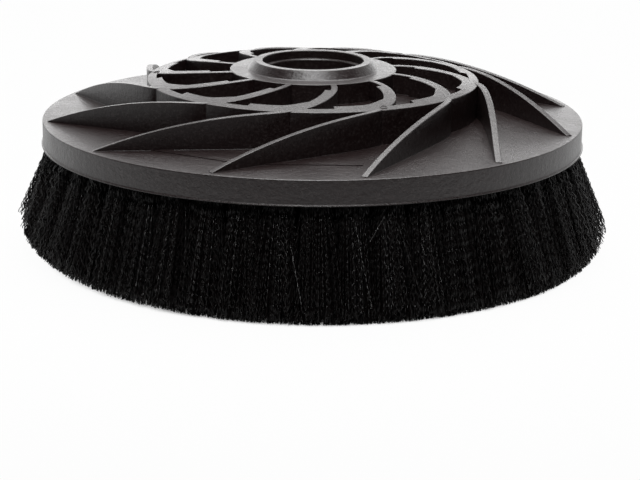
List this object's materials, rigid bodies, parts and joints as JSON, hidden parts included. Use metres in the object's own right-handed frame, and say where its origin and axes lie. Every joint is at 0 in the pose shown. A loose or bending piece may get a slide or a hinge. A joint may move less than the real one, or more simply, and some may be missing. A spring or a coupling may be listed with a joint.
{
  "type": "rotary wheel brush",
  "caption": "Round rotary brush: a moulded disc with a hub bore and swept blades on top, set underneath with rings of flaring black filament tufts.",
  "frame": {"origin": "on the spin axis, in the plane of the cut bristle tips", "axes": "+Z along the spin axis, from the bristles to the drive side with the hub; +X and +Y lie across the disc"},
  "size_m": [0.4422, 0.4422, 0.1371],
  "materials": {
    "moulded_plastic": "black moulded polyolefin, satin with a fine grain",
    "filament": "black crimped filament, satin"
  },
  "bodies": {
    "root": {"moulded_disc": "moulded_plastic", "tufts_row_1_sector_1": "filament", "tufts_row_1_sector_2": "filament", "tufts_row_1_sector_3": "filament", "tufts_row_1_sector_4": "filament", "tufts_row_1_sector_5": "filament", "tufts_row_1_sector_6": "filament", "tufts_row_1_sector_7": "filament", "tufts_row_1_sector_8": "filament", "tufts_row_2_sector_1": "filament", "tufts_row_2_sector_2": "filament", "tufts_row_2_sector_3": "filament", "tufts_row_2_sector_4": "filament", "tufts_row_2_sector_5": "filament", "tufts_row_2_sector_6": "filament", "tufts_row_2_sector_7": "filament", "tufts_row_2_sector_8": "filament", "tufts_row_3_sector_1": "filament", "tufts_row_3_sector_2": "filament", "tufts_row_3_sector_3": "filament", "tufts_row_3_sector_4": "filament", "tufts_row_3_sector_5": "filament", "tufts_row_3_sector_6": "filament", "tufts_row_3_sector_7": "filament", "tufts_row_3_sector_8": "filament", "tufts_row_4_sector_1": "filament", "tufts_row_4_sector_2": "filament", "tufts_row_4_sector_3": "filament", "tufts_row_4_sector_4": "filament", "tufts_row_4_sector_5": "filament", "tufts_row_4_sector_6": "filament", "tufts_row_4_sector_7": "filament", "tufts_row_4_sector_8": "filament", "tufts_row_5_sector_1": "filament", "tufts_row_5_sector_2": "filament", "tufts_row_5_sector_3": "filament", "tufts_row_5_sector_4": "filament", "tufts_row_5_sector_5": "filament", "tufts_row_5_sector_6": "filament", "tufts_row_5_sector_7": "filament", "tufts_row_5_sector_8": "filament", "tufts_row_5_sector_9": "filament", "tufts_row_5_sector_10": "filament", "tufts_row_5_sector_11": "filament", "tufts_row_5_sector_12": "filament", "tufts_row_5_sector_13": "filament", "tufts_row_5_sector_14": "filament", "tufts_row_5_sector_15": "filament", "tufts_row_5_sector_16": "filament"}
  },
  "joints": []
}
